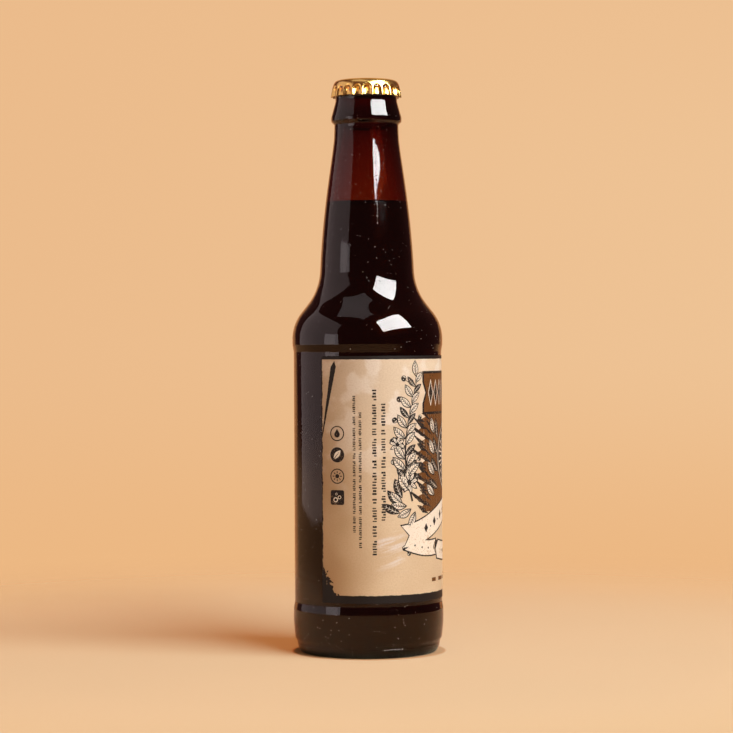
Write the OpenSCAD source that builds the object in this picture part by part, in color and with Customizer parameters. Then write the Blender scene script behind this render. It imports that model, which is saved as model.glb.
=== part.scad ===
// Capped long-neck soda bottle: a glass bottle with its drink, a wrap label and a crown cap.
// Millimetres, Z up. The origin is the centre of the resting ring, on the surface it stands on.
// -Y is the middle of the label's front panel.

/* [Bottle] */
// Height of the glass, from the resting ring to the top of the lip
bottle_h = 229; // [186:1:280]
// Diameter over the two contact beads, the widest part of the glass
bead_d = 60.6; // [48:0.1:76]
// How far the label panel lies below the contact beads
panel_recess = 0.5; // [0.2:0.05:1.2]
// Height of the lower contact bead's middle
low_bead_z = 14.8; // [12:0.1:22]
// Height of the lower contact bead's straight face
low_bead_h = 5.6; // [4:0.1:8]
// Height of the upper contact bead's straight face
high_bead_h = 2.2; // [1.5:0.1:6]
// Distance between the two beads, which frame the label panel
panel_h = 106.3; // [84:0.1:125]
// Thickness of the body's glass
body_wall = 1.8; // [1.6:0.1:3]
// Slope of the shoulder from the vertical, in degrees
shoulder_slope = 37.8; // [28:0.1:50]
// Radius of the shoulder's outward curve
shoulder_round = 17.2; // [8:0.1:24]
// Radius of the inward curve from the shoulder to the neck
neck_round = 23.5; // [10:0.1:34]

/* [Base] */
// How far the flat resting ring's outer edge lies inside the contact beads
ring_inset = 3; // [2.4:0.1:6]
// Width of the flat resting ring
ring_w = 3.8; // [2.6:0.1:6]
// Height of the hollow under the base
push_up = 4; // [2:0.1:7]
// Thickness of the glass over that hollow
base_wall = 3.4; // [2.6:0.1:6]

/* [Neck] */
// Diameter of the neck where it leaves the shoulder
neck_root_d = 38.6; // [32:0.1:46]
// Diameter of the neck just under the transfer ring
neck_top_d = 25.6; // [22:0.1:27]
// Thickness of the neck's glass
neck_wall = 2.5; // [2:0.1:3.6]

/* [Finish] */
// Diameter of the transfer ring that the bottle is gripped by
transfer_d = 28.4; // [27.6:0.1:31]
// Diameter of the locking ring that the crown is crimped on
locking_d = 26.6; // [26:0.1:27.2]
// How far the waist lies inside the locking ring
waist_in = 0.85; // [0.4:0.05:1.4]
// Diameter of the mouth
mouth_d = 16.4; // [12:0.1:18.6]
// Length of the mouth's straight bore
mouth_bore_l = 14; // [8:0.5:16]

/* [Crown] */
// Number of flutes round the skirt
flute_count = 21; // [15:1:27]
// Thickness of the crown's steel
crown_t = 0.24; // [0.2:0.01:0.35]
// Height of the whole crown
crown_h = 6.8; // [6:0.1:8]
// How far the flutes stand out from the skirt at its edge
flute_out = 0.56; // [0.3:0.02:1.2]
// Rise of the crown's top from its rim to its middle
crown_dome = 0.26; // [0.1:0.02:0.6]
// Thickness of the liner's sealing ring
liner_t = 0.9; // [0.6:0.05:1.4]

/* [Label] */
// Part of the way round that the label covers, in degrees
label_wrap = 267; // [120:1:350]
// Clear band of the panel above and below the label
label_margin = 1.65; // [0.6:0.05:20]
// Thickness of the label's paper
label_t = 0.09; // [0.06:0.01:0.2]
// Thickness of the adhesive behind the label
adhesive_t = 0.03; // [0.02:0.01:0.08]

/* [Drink] */
// Distance from the lip down to the drink's surface
fill_drop = 47.6; // [30:0.1:70]

/* [Hidden] */
$fn = 96;

arc_step = 7;              // degrees between two points of a rounded corner
sweep_steps = 14;          // points along the neck's long curve
joint_gap = 0.05;          // radial running gap between the crown and the locking ring
drink_gap = 0.04;          // gap between the drink's solid and the glass
overrun = 1;               // how far a cutting shape runs past what it cuts

bead_r = bead_d / 2;
panel_r = bead_r - panel_recess;
bead_blend = 2.8;          // height of the step from a bead to the panel
low_bead_z0 = low_bead_z - low_bead_h / 2;
low_bead_z1 = low_bead_z + low_bead_h / 2;
high_bead_z = low_bead_z1 + panel_h;
panel_z0 = low_bead_z1 + bead_blend;
panel_z1 = high_bead_z - bead_blend;

heel_z = 6;                // height of the small step round the heel
heel_r = bead_r - 0.6;
step_r = bead_r - 1.4;     // under that step
flank_z = 2.2;             // top of the curve that rises from the resting ring
flank_r = bead_r - 1.75;

ring_outer_r = bead_r - ring_inset;
ring_inner_r = ring_outer_r - ring_w;

neck_root_r = neck_root_d / 2;
neck_top_r = neck_top_d / 2;
root_slope = 2.7;          // slope of the neck where it leaves the shoulder, in degrees
top_slope = 3.4;           // slope of the neck just under the transfer ring, in degrees
shoulder_z = high_bead_z + high_bead_h + shoulder_round * tan(shoulder_slope / 2);
root_z = shoulder_z + (bead_r - neck_root_r) / tan(shoulder_slope);
root_l = neck_round * tan((shoulder_slope - root_slope) / 2);
sweep_z0 = root_z + root_l;
transfer_z = bottle_h - 15;
neck_top_z = transfer_z - 1.4;
sweep_z1 = neck_top_z - 4.6;
root_reach = 0.51;         // how far each end of the neck's curve keeps its own slope
top_reach = 0.15;

mouth_r = mouth_d / 2;
locking_r = locking_d / 2;
waist_r = locking_r - waist_in;
transfer_r = transfer_d / 2;
lip_round = 2.3;
mouth_round = 1.2;

crown_z1 = bottle_h + liner_t + crown_t;   // top of the crown's rim
crown_z0 = crown_z1 + crown_dome - crown_h;
skirt_r = locking_r + joint_gap + crown_t; // outside of the skirt between two flutes
rim_r = skirt_r - 3;                       // where the crown's top starts to round over
liner_r = locking_r - 0.9;
liner_thin = 0.35;                         // thickness the liner keeps inside its sealing ring
flute_r = 1.5;                             // radius of a flute's crest at the skirt's edge
flute_top = 1;                             // how far below the rim the flutes start

label_z0 = panel_z0 + label_margin;
label_h = panel_z1 - panel_z0 - 2 * label_margin;
fill_z = bottle_h - fill_drop;

function unit(v) = v / norm(v);
function corner_reach(p, i, j) = norm([p[j][0] - p[i][0], p[j][1] - p[i][1]]) * (p[j][2] > 0 ? 0.5 : 1);

// A path of [radius, height, fillet] corners as plain points, with each corner rounded.
// A fillet too large for its sides is limited by them.
function rounded(p) = [
    for (i = [0 : len(p) - 1])
        if (i == 0 || i == len(p) - 1 || p[i][2] <= 0)
            [p[i][0], p[i][1]]
        else
            each corner_arc(p, i)
];
function corner_arc(p, i) =
    let (
        c = [p[i][0], p[i][1]],
        a = unit([p[i - 1][0], p[i - 1][1]] - c),
        b = unit([p[i + 1][0], p[i + 1][1]] - c),
        half = acos(max(-1, min(1, a * b))) / 2,
        reach = min(p[i][2] / tan(half), corner_reach(p, i, i - 1), corner_reach(p, i, i + 1)),
        r = reach * tan(half),
        turn = 180 - 2 * half,
        steps = max(2, ceil(turn / arc_step)),
        middle = c + unit(a + b) * r / sin(half),
        from = c + a * reach - middle,
        side = sign(a[0] * b[1] - a[1] * b[0])
    )
    [for (k = [0 : steps]) let (t = -side * turn * k / steps)
        middle + [from[0] * cos(t) - from[1] * sin(t), from[0] * sin(t) + from[1] * cos(t)]];

// The neck's long curve: a cubic with its own slope at each end.
function sweep(r0, z0, r1, z1) =
    let (
        l = z1 - z0,
        p0 = [r0, z0],
        p1 = p0 + l * root_reach * [-tan(root_slope), 1],
        p3 = [r1, z1],
        p2 = p3 - l * top_reach * [-tan(top_slope), 1]
    )
    [for (k = [0 : sweep_steps]) let (t = k / sweep_steps, u = 1 - t)
        u * u * u * p0 + 3 * u * u * t * p1 + 3 * u * t * t * p2 + t * t * t * p3];

outer_root_r = neck_root_r - root_l * tan(root_slope);
outer_top_r = neck_top_r + (neck_top_z - sweep_z1) * tan(top_slope);

outer_low = rounded([
    [0, push_up, 0],
    [ring_inner_r - 8, push_up, 14],
    [ring_inner_r, 0, 1.5],
    [ring_outer_r, 0, 1.2],
    [flank_r, flank_z, 3],
    [step_r, heel_z - 1.6, 1],
    [heel_r, heel_z, 1.2],
    [bead_r, low_bead_z0, 12],
    [bead_r, low_bead_z1, 3],
    [panel_r, panel_z0, 3],
    [panel_r, panel_z1, 3],
    [bead_r, high_bead_z, 3],
    [bead_r, shoulder_z, shoulder_round],
    [neck_root_r, root_z, neck_round],
    [outer_root_r, sweep_z0, 0]
]);

outer_finish = rounded([
    [outer_top_r, sweep_z1, 0],
    [neck_top_r, neck_top_z, 0.5],
    [transfer_r, transfer_z - 0.2, 0.7],
    [transfer_r, transfer_z + 1.4, 1.6],
    [waist_r, bottle_h - 7.2, 2],
    [waist_r, bottle_h - 5.5, 0.8],
    [locking_r, bottle_h - 4.3, 0.6],
    [locking_r, bottle_h, lip_round],
    [mouth_r, bottle_h, mouth_round],
    [mouth_r, bottle_h - mouth_round - mouth_bore_l, 0]
]);

// The inside of the glass, from the mouth down to the floor, moved in by gap.
function inside(gap) =
    let (
        body = body_wall + gap,
        drop = body * tan(shoulder_slope / 2),
        neck = neck_wall + gap,
        bore = mouth_r - gap,
        low = rounded([
            [0, push_up + base_wall + gap, 0],
            [ring_inner_r - 9, push_up + base_wall + gap, 20],
            [panel_r - body - 2.5, push_up + base_wall - 2.2 + gap, 5],
            [panel_r - body, push_up + base_wall + 6, 9],
            [panel_r - body, shoulder_z - drop, shoulder_round],
            [neck_root_r - neck, root_z - drop, neck_round],
            [outer_root_r - neck, sweep_z0, 0]
        ])
    )
    concat(low, sweep(outer_root_r - neck, sweep_z0, bore, bottle_h - mouth_round - mouth_bore_l));

function reversed(p) = [for (i = [len(p) - 1 : -1 : 0]) p[i]];

module glass_bottle() {
    color([0.28, 0.11, 0.04, 0.8])
        rotate_extrude()
            polygon(concat(
                outer_low,
                [for (k = [1 : sweep_steps - 1]) sweep(outer_root_r, sweep_z0, outer_top_r, sweep_z1)[k]],
                outer_finish,
                [for (k = [1 : len(inside(0)) - 1]) reversed(inside(0))[k]]
            ));
}

module soda() {
    color([0.06, 0.015, 0.01])
        intersection() {
            rotate_extrude()
                polygon(concat(inside(drink_gap), [[0, inside(drink_gap)[len(inside(drink_gap)) - 1][1]]]));
            cylinder(r = bead_r, h = fill_z);
        }
}

// A sheet wrapped round the label panel, centred on -Y.
module wrapped(inner_r, thickness) {
    rotate(-90 - label_wrap / 2)
        rotate_extrude(angle = label_wrap)
            translate([inner_r, label_z0])
                square([thickness, label_h]);
}

module label_adhesive() {
    color([0.75, 0.72, 0.62])
        wrapped(panel_r, adhesive_t);
}

module wrap_label() {
    color([0.80, 0.65, 0.47])
        wrapped(panel_r + adhesive_t, label_t);
}

// Half the section of the crown without its flutes, moved in by t.
function crown_section(t) = rounded([
    [0, crown_z1 + crown_dome - t, 0],
    [rim_r / 2, crown_z1 + crown_dome - t, 30],
    [rim_r, crown_z1 - t, 3],
    [skirt_r - 0.75 - t, crown_z1 - 0.35 - t, 1.4],
    [skirt_r - t, crown_z1 - 2.6, 2],
    [skirt_r - t, crown_z0 - (t > 0 ? overrun : 0), 0],
    [0, crown_z0 - (t > 0 ? overrun : 0), 0]
]);

// The flutes' crests: cones that start under the rim and widen to the skirt's edge.
module flutes(t) {
    low_r = skirt_r + flute_out - flute_r;
    top_z = crown_z1 - flute_top;
    lean = atan((skirt_r - 0.62 - low_r) / (top_z - crown_z0));
    reach = (top_z - crown_z0) / cos(lean);
    for (k = [0 : flute_count - 1])
        rotate(360 * k / flute_count - 90)
            translate([low_r, 0, crown_z0])
                rotate([0, lean, 0])
                    translate([0, 0, -overrun])
                        cylinder(
                            r1 = flute_r - t + (flute_r - 0.3) / reach * overrun,
                            r2 = 0.3 - t / 2,
                            h = reach + overrun
                        );
}

module crown_shell() {
    color([0.85, 0.62, 0.22])
        difference() {
            union() {
                rotate_extrude() polygon(crown_section(0));
                flutes(0);
            }
            rotate_extrude() polygon(crown_section(crown_t));
            flutes(crown_t);
            translate([0, 0, crown_z0 - 2 * overrun])
                cylinder(r = 2 * skirt_r, h = 2 * overrun);
        }
}

// A disc inside the crown's top with a thicker ring where it meets the lip.
module crown_liner() {
    color([0.88, 0.88, 0.84])
        rotate_extrude()
            intersection() {
                polygon(crown_section(crown_t));
                polygon(rounded([
                    [0, bottle_h + liner_t - liner_thin, 0],
                    [mouth_r + 0.3, bottle_h + liner_t - liner_thin, 0.4],
                    [mouth_r + 0.9, bottle_h, 0.3],
                    [liner_r, bottle_h, 0.5],
                    [liner_r, crown_z1 + crown_dome, 0],
                    [0, crown_z1 + crown_dome, 0]
                ]));
            }
}

glass_bottle();
soda();
label_adhesive();
wrap_label();
crown_shell();
crown_liner();
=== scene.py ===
import bpy
import math
from mathutils import Matrix, Vector


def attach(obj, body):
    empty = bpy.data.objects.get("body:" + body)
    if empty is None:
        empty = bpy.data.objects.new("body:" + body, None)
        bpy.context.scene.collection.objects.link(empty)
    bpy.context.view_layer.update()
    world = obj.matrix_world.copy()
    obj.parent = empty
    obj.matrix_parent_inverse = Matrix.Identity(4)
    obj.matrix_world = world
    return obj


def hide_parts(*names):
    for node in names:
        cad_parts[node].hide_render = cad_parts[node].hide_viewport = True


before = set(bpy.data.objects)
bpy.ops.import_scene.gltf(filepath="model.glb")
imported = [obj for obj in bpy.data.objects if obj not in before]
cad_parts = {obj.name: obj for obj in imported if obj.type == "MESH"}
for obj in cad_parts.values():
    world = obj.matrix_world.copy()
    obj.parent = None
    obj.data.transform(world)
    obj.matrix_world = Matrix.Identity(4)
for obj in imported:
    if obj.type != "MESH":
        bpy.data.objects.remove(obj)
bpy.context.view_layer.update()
print("frame loaded:", ", ".join(sorted(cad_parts)))

mm = 0.001
turn = math.tau


# small tools

def pick(*pieces):
    bpy.ops.object.select_all(action="DESELECT")
    for piece in pieces:
        piece.select_set(True)
    bpy.context.view_layer.objects.active = pieces[0]
    return pieces[0]


def editAll(piece=None):
    # edit mode with everything selected
    if piece:
        pick(piece)
    bpy.ops.object.mode_set(mode="EDIT")
    bpy.ops.mesh.select_all(action="SELECT")


def leaveEdit():
    bpy.ops.object.mode_set(mode="OBJECT")


def closeUp(gap):
    # in edit mode: doubles nearer than gap in mm are merged, and faces point outwards
    bpy.ops.mesh.select_all(action="SELECT")
    bpy.ops.mesh.remove_doubles(threshold=gap * mm)
    bpy.ops.mesh.normals_make_consistent(inside=False)
    leaveEdit()


def swung(piece, angle):
    # turned about the Z axis in edit mode, so that the object itself stays unturned
    editAll(piece)
    bpy.ops.transform.rotate(value=angle, orient_axis="Z", center_override=(0, 0, 0))
    leaveEdit()
    return piece


def joined(name, pieces):
    piece = pick(*pieces)
    if len(pieces) > 1:
        bpy.ops.object.join()
    piece.name = piece.data.name = name
    return piece


def settle(piece, smooth=True):
    # the place goes into the mesh, so that the object sits at the origin
    pick(piece)
    bpy.ops.object.transform_apply(location=True, rotation=True, scale=True)
    if smooth:
        bpy.ops.object.shade_smooth()
    return piece


def thickened(piece, wall, crease):
    # grows inwards by wall in mm, and bends sharper than crease in degrees look sharp
    pick(piece)
    solid = piece.modifiers.new("wall", "SOLIDIFY")
    solid.thickness = wall * mm
    solid.offset = -1
    bpy.ops.object.modifier_apply(modifier=solid.name)
    bpy.ops.object.shade_smooth_by_angle(angle=math.radians(crease))
    return piece


def rounded(corners, step=3.0):
    # corners are (radius, height, fillet) in mm; each fillet becomes a short arc
    path = []
    for i, (r, z, fillet) in enumerate(corners):
        corner = Vector((r, z))
        if i in (0, len(corners) - 1) or fillet <= 0:
            path.append(corner)
            continue
        before = Vector(corners[i - 1][:2]) - corner
        after = Vector(corners[i + 1][:2]) - corner
        limits = [leg.length * (0.5 if corners[k][2] > 0 else 1)
                  for leg, k in ((before, i - 1), (after, i + 1))]
        before.normalize()
        after.normalize()
        half = math.acos(max(-1, min(1, before.dot(after)))) / 2
        reach = min(fillet / math.tan(half), *limits)
        radius = reach * math.tan(half)
        bend = math.pi - 2 * half
        middle = corner + (before + after).normalized() * radius / math.sin(half)
        start = corner + before * reach - middle
        side = 1 if before.x * after.y - before.y * after.x > 0 else -1
        steps = max(2, math.ceil(math.degrees(bend) / step))
        for k in range(steps + 1):
            a = -side * bend * k / steps
            path.append(middle + Vector((start.x * math.cos(a) - start.y * math.sin(a),
                                         start.x * math.sin(a) + start.y * math.cos(a))))
    return path


def evened(path, longest):
    # long straight runs get points between, so that smooth shading stays true
    out = [path[0]]
    for a, b in zip(path, path[1:]):
        gap = (b - a).length
        if gap < 1e-4:
            continue
        parts = max(1, math.ceil(gap / longest))
        out += [a.lerp(b, k / parts) for k in range(1, parts + 1)]
    return out


def traced(name, path):
    # one vertex drawn along the path by extruding it, in the plane of X and Z
    bpy.ops.mesh.primitive_plane_add(size=mm, location=(path[0].x * mm, 0, path[0].y * mm))
    piece = bpy.context.object
    piece.name = piece.data.name = name
    settle(piece, smooth=False)
    editAll()
    bpy.ops.mesh.merge(type="CENTER")
    for a, b in zip(path, path[1:]):
        bpy.ops.mesh.extrude_region_move(
            TRANSFORM_OT_translate={"value": ((b.x - a.x) * mm, 0, (b.y - a.y) * mm)})
    leaveEdit()
    return piece


def turned(name, path, steps, angle=turn):
    piece = traced(name, path)
    editAll()
    bpy.ops.mesh.spin(steps=steps, angle=angle, center=(0, 0, 0), axis=(0, 0, 1))
    closeUp(0.002)
    return settle(piece)


# shader maths

class Value:
    # a socket that adds Math nodes when it stands in an expression
    def __init__(self, finish, socket):
        self.finish = finish
        self.socket = socket

    def math(self, operation, *others, clamp=False):
        sockets = dict(enumerate((self,) + others))
        return self.finish.node("ShaderNodeMath", {"operation": operation, "use_clamp": clamp}, sockets)

    def flipped(self, operation, other):
        return self.finish.node("ShaderNodeMath", {"operation": operation}, {0: other, 1: self})

    def __add__(self, other): return self.math("ADD", other)
    def __radd__(self, other): return self.flipped("ADD", other)
    def __sub__(self, other): return self.math("SUBTRACT", other)
    def __rsub__(self, other): return self.flipped("SUBTRACT", other)
    def __mul__(self, other): return self.math("MULTIPLY", other)
    def __rmul__(self, other): return self.flipped("MULTIPLY", other)
    def __lt__(self, other): return self.math("LESS_THAN", other)
    def __abs__(self): return self.math("ABSOLUTE")

    def low(self, other): return self.math("MINIMUM", other)
    def high(self, other): return self.math("MAXIMUM", other)
    def held(self): return self.math("ADD", 0.0, clamp=True)

    def soft(self, start, end):
        # 0 before start, 1 after end, smooth between
        return self.finish.node("ShaderNodeMapRange", {"interpolation_type": "SMOOTHSTEP"},
                                {0: self, 1: start, 2: end, 3: 0.0, 4: 1.0})

    def out(self, name):
        return Value(self.finish, self.socket.node.outputs[name])


class Finish:
    def __init__(self, name, tree=None):
        if tree is None:
            self.material = bpy.data.materials.new(name)
            self.material.use_nodes = True
            tree = self.material.node_tree
        self.tree = tree
        self.tree.nodes.clear()

    def node(self, kind, settings=None, sockets=None, output=0):
        made = self.tree.nodes.new(kind)
        for key, value in (settings or {}).items():
            setattr(made, key, value)
        for key, value in (sockets or {}).items():
            if isinstance(value, Value):
                self.tree.links.new(value.socket, made.inputs[key])
            else:
                made.inputs[key].default_value = value
        return Value(self, made.outputs[output]) if made.outputs else made

    def mix(self, share, a, b):
        return self.node("ShaderNodeMix", {"data_type": "RGBA"}, {0: share, 6: a, 7: b}, output=2)

    def stretched(self, vector, scale, rotation=(0, 0, 0)):
        return self.node("ShaderNodeMapping", None, {"Vector": vector, "Scale": scale, "Rotation": rotation})

    def place(self):
        # object coordinates in mm
        return self.stretched(self.node("ShaderNodeTexCoord", output="Object"), (1000, 1000, 1000))

    def split(self, vector):
        node = self.node("ShaderNodeSeparateXYZ", None, {0: vector})
        return node.out("X"), node.out("Y"), node.out("Z")

    def measured(self, operation, vector, other=(0, 0, 0)):
        # a vector operation that gives one number
        return self.node("ShaderNodeVectorMath", {"operation": operation}, {0: vector, 1: other},
                         output="Value")

    def joint(self, x, y, z=0.0):
        return self.node("ShaderNodeCombineXYZ", None, {0: x, 1: y, 2: z})

    def noise(self, vector, scale, detail=3.0, roughness=0.5, distortion=0.0):
        return self.node("ShaderNodeTexNoise", None,
                         {"Vector": vector, "Scale": scale, "Detail": detail,
                          "Roughness": roughness, "Distortion": distortion})

    def cells(self, vector, scale):
        return self.node("ShaderNodeTexVoronoi", None, {"Vector": vector, "Scale": scale}, output="Distance")

    def bump(self, height, strength, distance):
        return self.node("ShaderNodeBump", None,
                         {"Strength": strength, "Distance": distance, "Height": height})

    def shaded(self, sockets, inside=None):
        # inside is a volume shader
        ends = {"Surface": self.node("ShaderNodeBsdfPrincipled", None, sockets)}
        if inside:
            ends["Volume"] = inside
        self.node("ShaderNodeOutputMaterial", None, ends)

    def on(self, *pieces):
        for piece in pieces:
            piece.data.materials.clear()
            piece.data.materials.append(self.material)
        return self


def rgb(r, g, b):
    # a screen colour, 0 to 255, as linear light
    def linear(c):
        c /= 255
        return c / 12.92 if c <= 0.04045 else ((c + 0.055) / 1.055) ** 2.4
    return (linear(r), linear(g), linear(b), 1.0)


# bottle glass

bottle = {
    "height": 229.0, "bead": 30.3, "panel": 29.8,
    "lowBead": (12.0, 17.6), "highBead": (123.9, 126.1), "beadBlend": 2.8,
    "shoulderSlope": 37.8, "shoulderRound": 17.2, "neckRound": 23.5,
    "neckRoot": 19.3, "neckTop": 12.9, "rootSlope": 2.7, "topSlope": 5.07, "collarSlope": 1.9,
    "rootReach": 0.495, "topReach": 0.18,
    "footInner": 23.5, "footOuter": 27.3, "transfer": 14.2, "waist": 12.45, "locking": 13.3,
    "pushUp": 4.0, "floor": 7.4, "wall": 1.8, "neckWall": 2.5, "bore": 8.2, "boreDepth": 15.2,
    "steps": 240, "longest": 2.4,
}


def slopeOf(degrees):
    return math.tan(math.radians(degrees))


def neckCurve(r0, z0, r1, z1, steps=36):
    b = bottle
    length = z1 - z0
    p0, p3 = Vector((r0, z0)), Vector((r1, z1))
    p1 = p0 + length * b["rootReach"] * Vector((-slopeOf(b["rootSlope"]), 1))
    p2 = p3 - length * b["topReach"] * Vector((-slopeOf(b["topSlope"]), 1))
    curve = []
    for k in range(steps + 1):
        t, u = k / steps, 1 - k / steps
        curve.append(u ** 3 * p0 + 3 * u * u * t * p1 + 3 * u * t * t * p2 + t ** 3 * p3)
    return curve


def bottleHeights():
    b = bottle
    shoulder = b["highBead"][1] + b["shoulderRound"] * slopeOf(b["shoulderSlope"] / 2)
    root = shoulder + (b["bead"] - b["neckRoot"]) / slopeOf(b["shoulderSlope"])
    rootLength = b["neckRound"] * slopeOf((b["shoulderSlope"] - b["rootSlope"]) / 2)
    return shoulder, root, root + rootLength, b["neckRoot"] - rootLength * slopeOf(b["rootSlope"])


def outerPath():
    b = bottle
    shoulder, root, start, startRadius = bottleHeights()
    top = b["height"]
    low = rounded([
        (0, b["pushUp"], 0), (15.5, b["pushUp"], 14), (b["footInner"], 0, 1.5), (b["footOuter"], 0, 1.2),
        (b["bead"] - 1.75, 2.2, 3), (b["bead"] - 1.4, 4.4, 1), (b["bead"] - 0.6, 6, 1.2),
        (b["bead"], b["lowBead"][0], 12), (b["bead"], b["lowBead"][1], 3),
        (b["panel"], b["lowBead"][1] + b["beadBlend"], 3),
        (b["panel"], b["highBead"][0] - b["beadBlend"], 3),
        (b["bead"], b["highBead"][0], 3), (b["bead"], b["highBead"][1], 0),
        (b["bead"], shoulder, b["shoulderRound"]),
        (b["neckRoot"], root, b["neckRound"]), (startRadius, start, 0)])
    end = top - 22
    endRadius = b["neckTop"] + 5.6 * slopeOf(b["collarSlope"])
    finish = rounded([
        (endRadius, end, 0), (b["neckTop"], top - 16.4, 0.5),
        (b["transfer"], top - 15.2, 0.7), (b["transfer"], top - 13.6, 1.6),
        (b["waist"], top - 7.2, 2), (b["waist"], top - 5.5, 0.8),
        (b["locking"], top - 4.3, 0.6), (b["locking"], top, 2.3),
        (b["bore"], top, 1.2), (b["bore"], top - b["boreDepth"], 0)], 8)
    return low[:-1] + neckCurve(startRadius, start, endRadius, end)[:-1] + finish


def innerPath(gap=0.0):
    # from the floor up to the mouth; gap moves it in from the glass, and below 0 into the glass
    b = bottle
    shoulder, root, start, startRadius = bottleHeights()
    body, neck = b["wall"] + gap, b["neckWall"] + gap
    drop = body * slopeOf(b["shoulderSlope"] / 2)
    low = rounded([
        (0, b["floor"] + gap, 0), (14.5, b["floor"] + gap, 20), (b["panel"] - body - 2.5, 5.2 + gap, 5),
        (b["panel"] - body, 13.4, 9), (b["panel"] - body, shoulder - drop, b["shoulderRound"]),
        (b["neckRoot"] - neck, root - drop, b["neckRound"]), (startRadius - neck, start, 0)], 5)
    return low[:-1] + neckCurve(startRadius - neck, start, b["bore"] - gap, b["height"] - b["boreDepth"], 28)


glass = turned("glass", evened(outerPath(), bottle["longest"])
               + evened(list(reversed(innerPath())), 4.0)[1:], bottle["steps"])
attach(glass, "bottle")
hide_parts("glass_bottle")
print("glass:", len(glass.data.vertices), "points")


def glassFinish():
    look = {"colour": (1.0, 0.97, 0.94, 1), "roughness": 0.035, "ior": 1.52,
            "absorbed": (0.735, 0.475, 0.0, 1), "density": 1560.0,
            "seamTurn": 8.5, "seamWidth": 0.4, "hazeTurn": 164.0, "haze": 0.17}
    f = Finish("amberGlass")
    spot = f.place()
    x, y, z = f.split(spot)
    around = y.math("ARCTAN2", x)
    # two mould seams on opposite sides, as distance round the bottle in mm
    away = abs((around - math.radians(look["seamTurn"])).math("SINE")) * 28
    seam = (1 - away.soft(0.0, look["seamWidth"])) * (z < 224)
    broken = f.noise(f.joint(away * 0.2, z, 3.0), 1.1, 2.0)
    seam = seam * broken.soft(0.35, 0.6)
    # parting line above the resting ring
    parting = 1 - abs(z - 3.5).soft(0.0, 0.28)
    # stippled bars pressed into the resting ring's edge
    bars = (around * 64).math("SINE").soft(0.1, 0.7)
    marks = f.noise(f.joint(around * 3, 0.0), 1.0, 2.0).soft(0.42, 0.55)
    band = (1 - z.soft(1.5, 2.0)) * (x * x + y * y).math("SQRT").soft(23.4, 24.2)
    band = band.high((1 - abs(z - 5.2).soft(0.3, 0.55)) * marks)
    stipple = bars * band
    waves = f.noise(f.stretched(spot, (1, 1, 0.45)), 0.055, 1.0)
    peel = f.noise(f.stretched(spot, (1, 1, 0.8)), 0.75, 2.0)
    uneven = f.noise(spot, 0.06, 1.0).soft(0.35, 0.65)
    line = f.noise(f.joint(around * 9, z * 0.6), 0.8, 2.0).soft(0.32, 0.5)
    height = (waves * 0.35 + peel * (0.004 + uneven * 0.007) + seam * (0.1 - z.soft(24, 60) * 0.075)
              + parting * line * 0.26 + stipple * 0.42)
    normal = f.bump(height, 0.6, mm)
    smear = f.noise(f.stretched(spot, (1, 1, 0.3)), 0.12, 3.0)
    dust = 1 - f.cells(spot, 0.62).soft(0.045, 0.075)
    dust = dust * f.noise(spot, 0.06, 2.0).soft(0.38, 0.52)
    # a faint rubbed haze beside the seam, just under the drink's surface
    beside = 1 - abs(around + math.radians(look["hazeTurn"])).soft(0.02, 0.2)
    beside = beside * z.soft(163, 180) * (1 - z.soft(180.3, 182.0))
    haze = beside * f.noise(f.joint(around * 40, z * 0.25), 1.0, 3.0).soft(0.3, 0.7)
    rough = look["roughness"] + smear.soft(0.5, 0.8) * 0.03 + stipple * 0.1 + dust * 0.8 + haze * look["haze"]
    amber = f.node("ShaderNodeVolumeAbsorption", None,
                   {"Color": look["absorbed"], "Density": look["density"]})
    f.shaded({"Base Color": look["colour"], "Roughness": rough, "IOR": look["ior"], "Metallic": dust * 0.6,
              "Transmission Weight": 1.0, "Normal": normal}, inside=amber)
    return f


glassFinish().on(glass)


# drink

drinkShape = {"surface": 180.5, "meniscus": 0.9, "meniscusWidth": 2.2, "overlap": -0.05, "steps": 120,
              "dark": rgb(14, 4, 2), "lighter": rgb(24, 8, 4), "foam": rgb(120, 62, 26)}


def drinkPath():
    d = drinkShape
    wall = innerPath(d["overlap"])
    edgeHeight = d["surface"] + d["meniscus"]
    path = [p for p in wall if p.y < edgeHeight - 0.3]
    upper = next(p for p in wall if p.y >= edgeHeight)
    last = path[-1]
    edge = last.lerp(upper, (edgeHeight - last.y) / (upper.y - last.y))
    path.append(edge)
    for k in range(1, 9):
        t = k / 8
        path.append(Vector((edge.x - d["meniscusWidth"] * t, d["surface"] + d["meniscus"] * (1 - t) ** 2.4)))
    return path + [Vector((edge.x * 0.45, d["surface"])), Vector((0, d["surface"]))]


drink = turned("drink", evened(drinkPath(), 4.0), drinkShape["steps"])
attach(drink, "bottle")
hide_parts("soda")


def drinkFinish():
    f = Finish("darkSoda")
    spot = f.place()
    _, _, z = f.split(spot)
    cloud = f.noise(spot, 0.05, 2.0)
    foam = z.soft(180.2, 182.3) * f.noise(spot, 1.4, 3.0).soft(0.45, 0.7)
    colour = f.mix(cloud, drinkShape["dark"], drinkShape["lighter"])
    colour = f.mix(foam * 0.5, colour, drinkShape["foam"])
    bubbles = f.cells(spot, 1.6).soft(0.05, 0.25) * z.soft(176.5, 180.5)  # only close under the surface
    f.shaded({"Base Color": colour, "Roughness": 0.17 + foam * 0.3, "IOR": 1.34, "Specular IOR Level": 0.32,
              "Normal": f.bump(bubbles, 0.15, 0.2 * mm)})
    return f


drinkFinish().on(drink)
print("drink ready")


# label

label = {"low": 22.05, "height": 97.4, "half": 133.5, "radius": 29.92, "paper": 0.085,
         "glueRadius": 29.831, "glue": 0.025, "across": 178, "up": 62}  # half is in degrees, the rest in mm
labelHalf = math.radians(label["half"]) * label["radius"]


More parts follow.
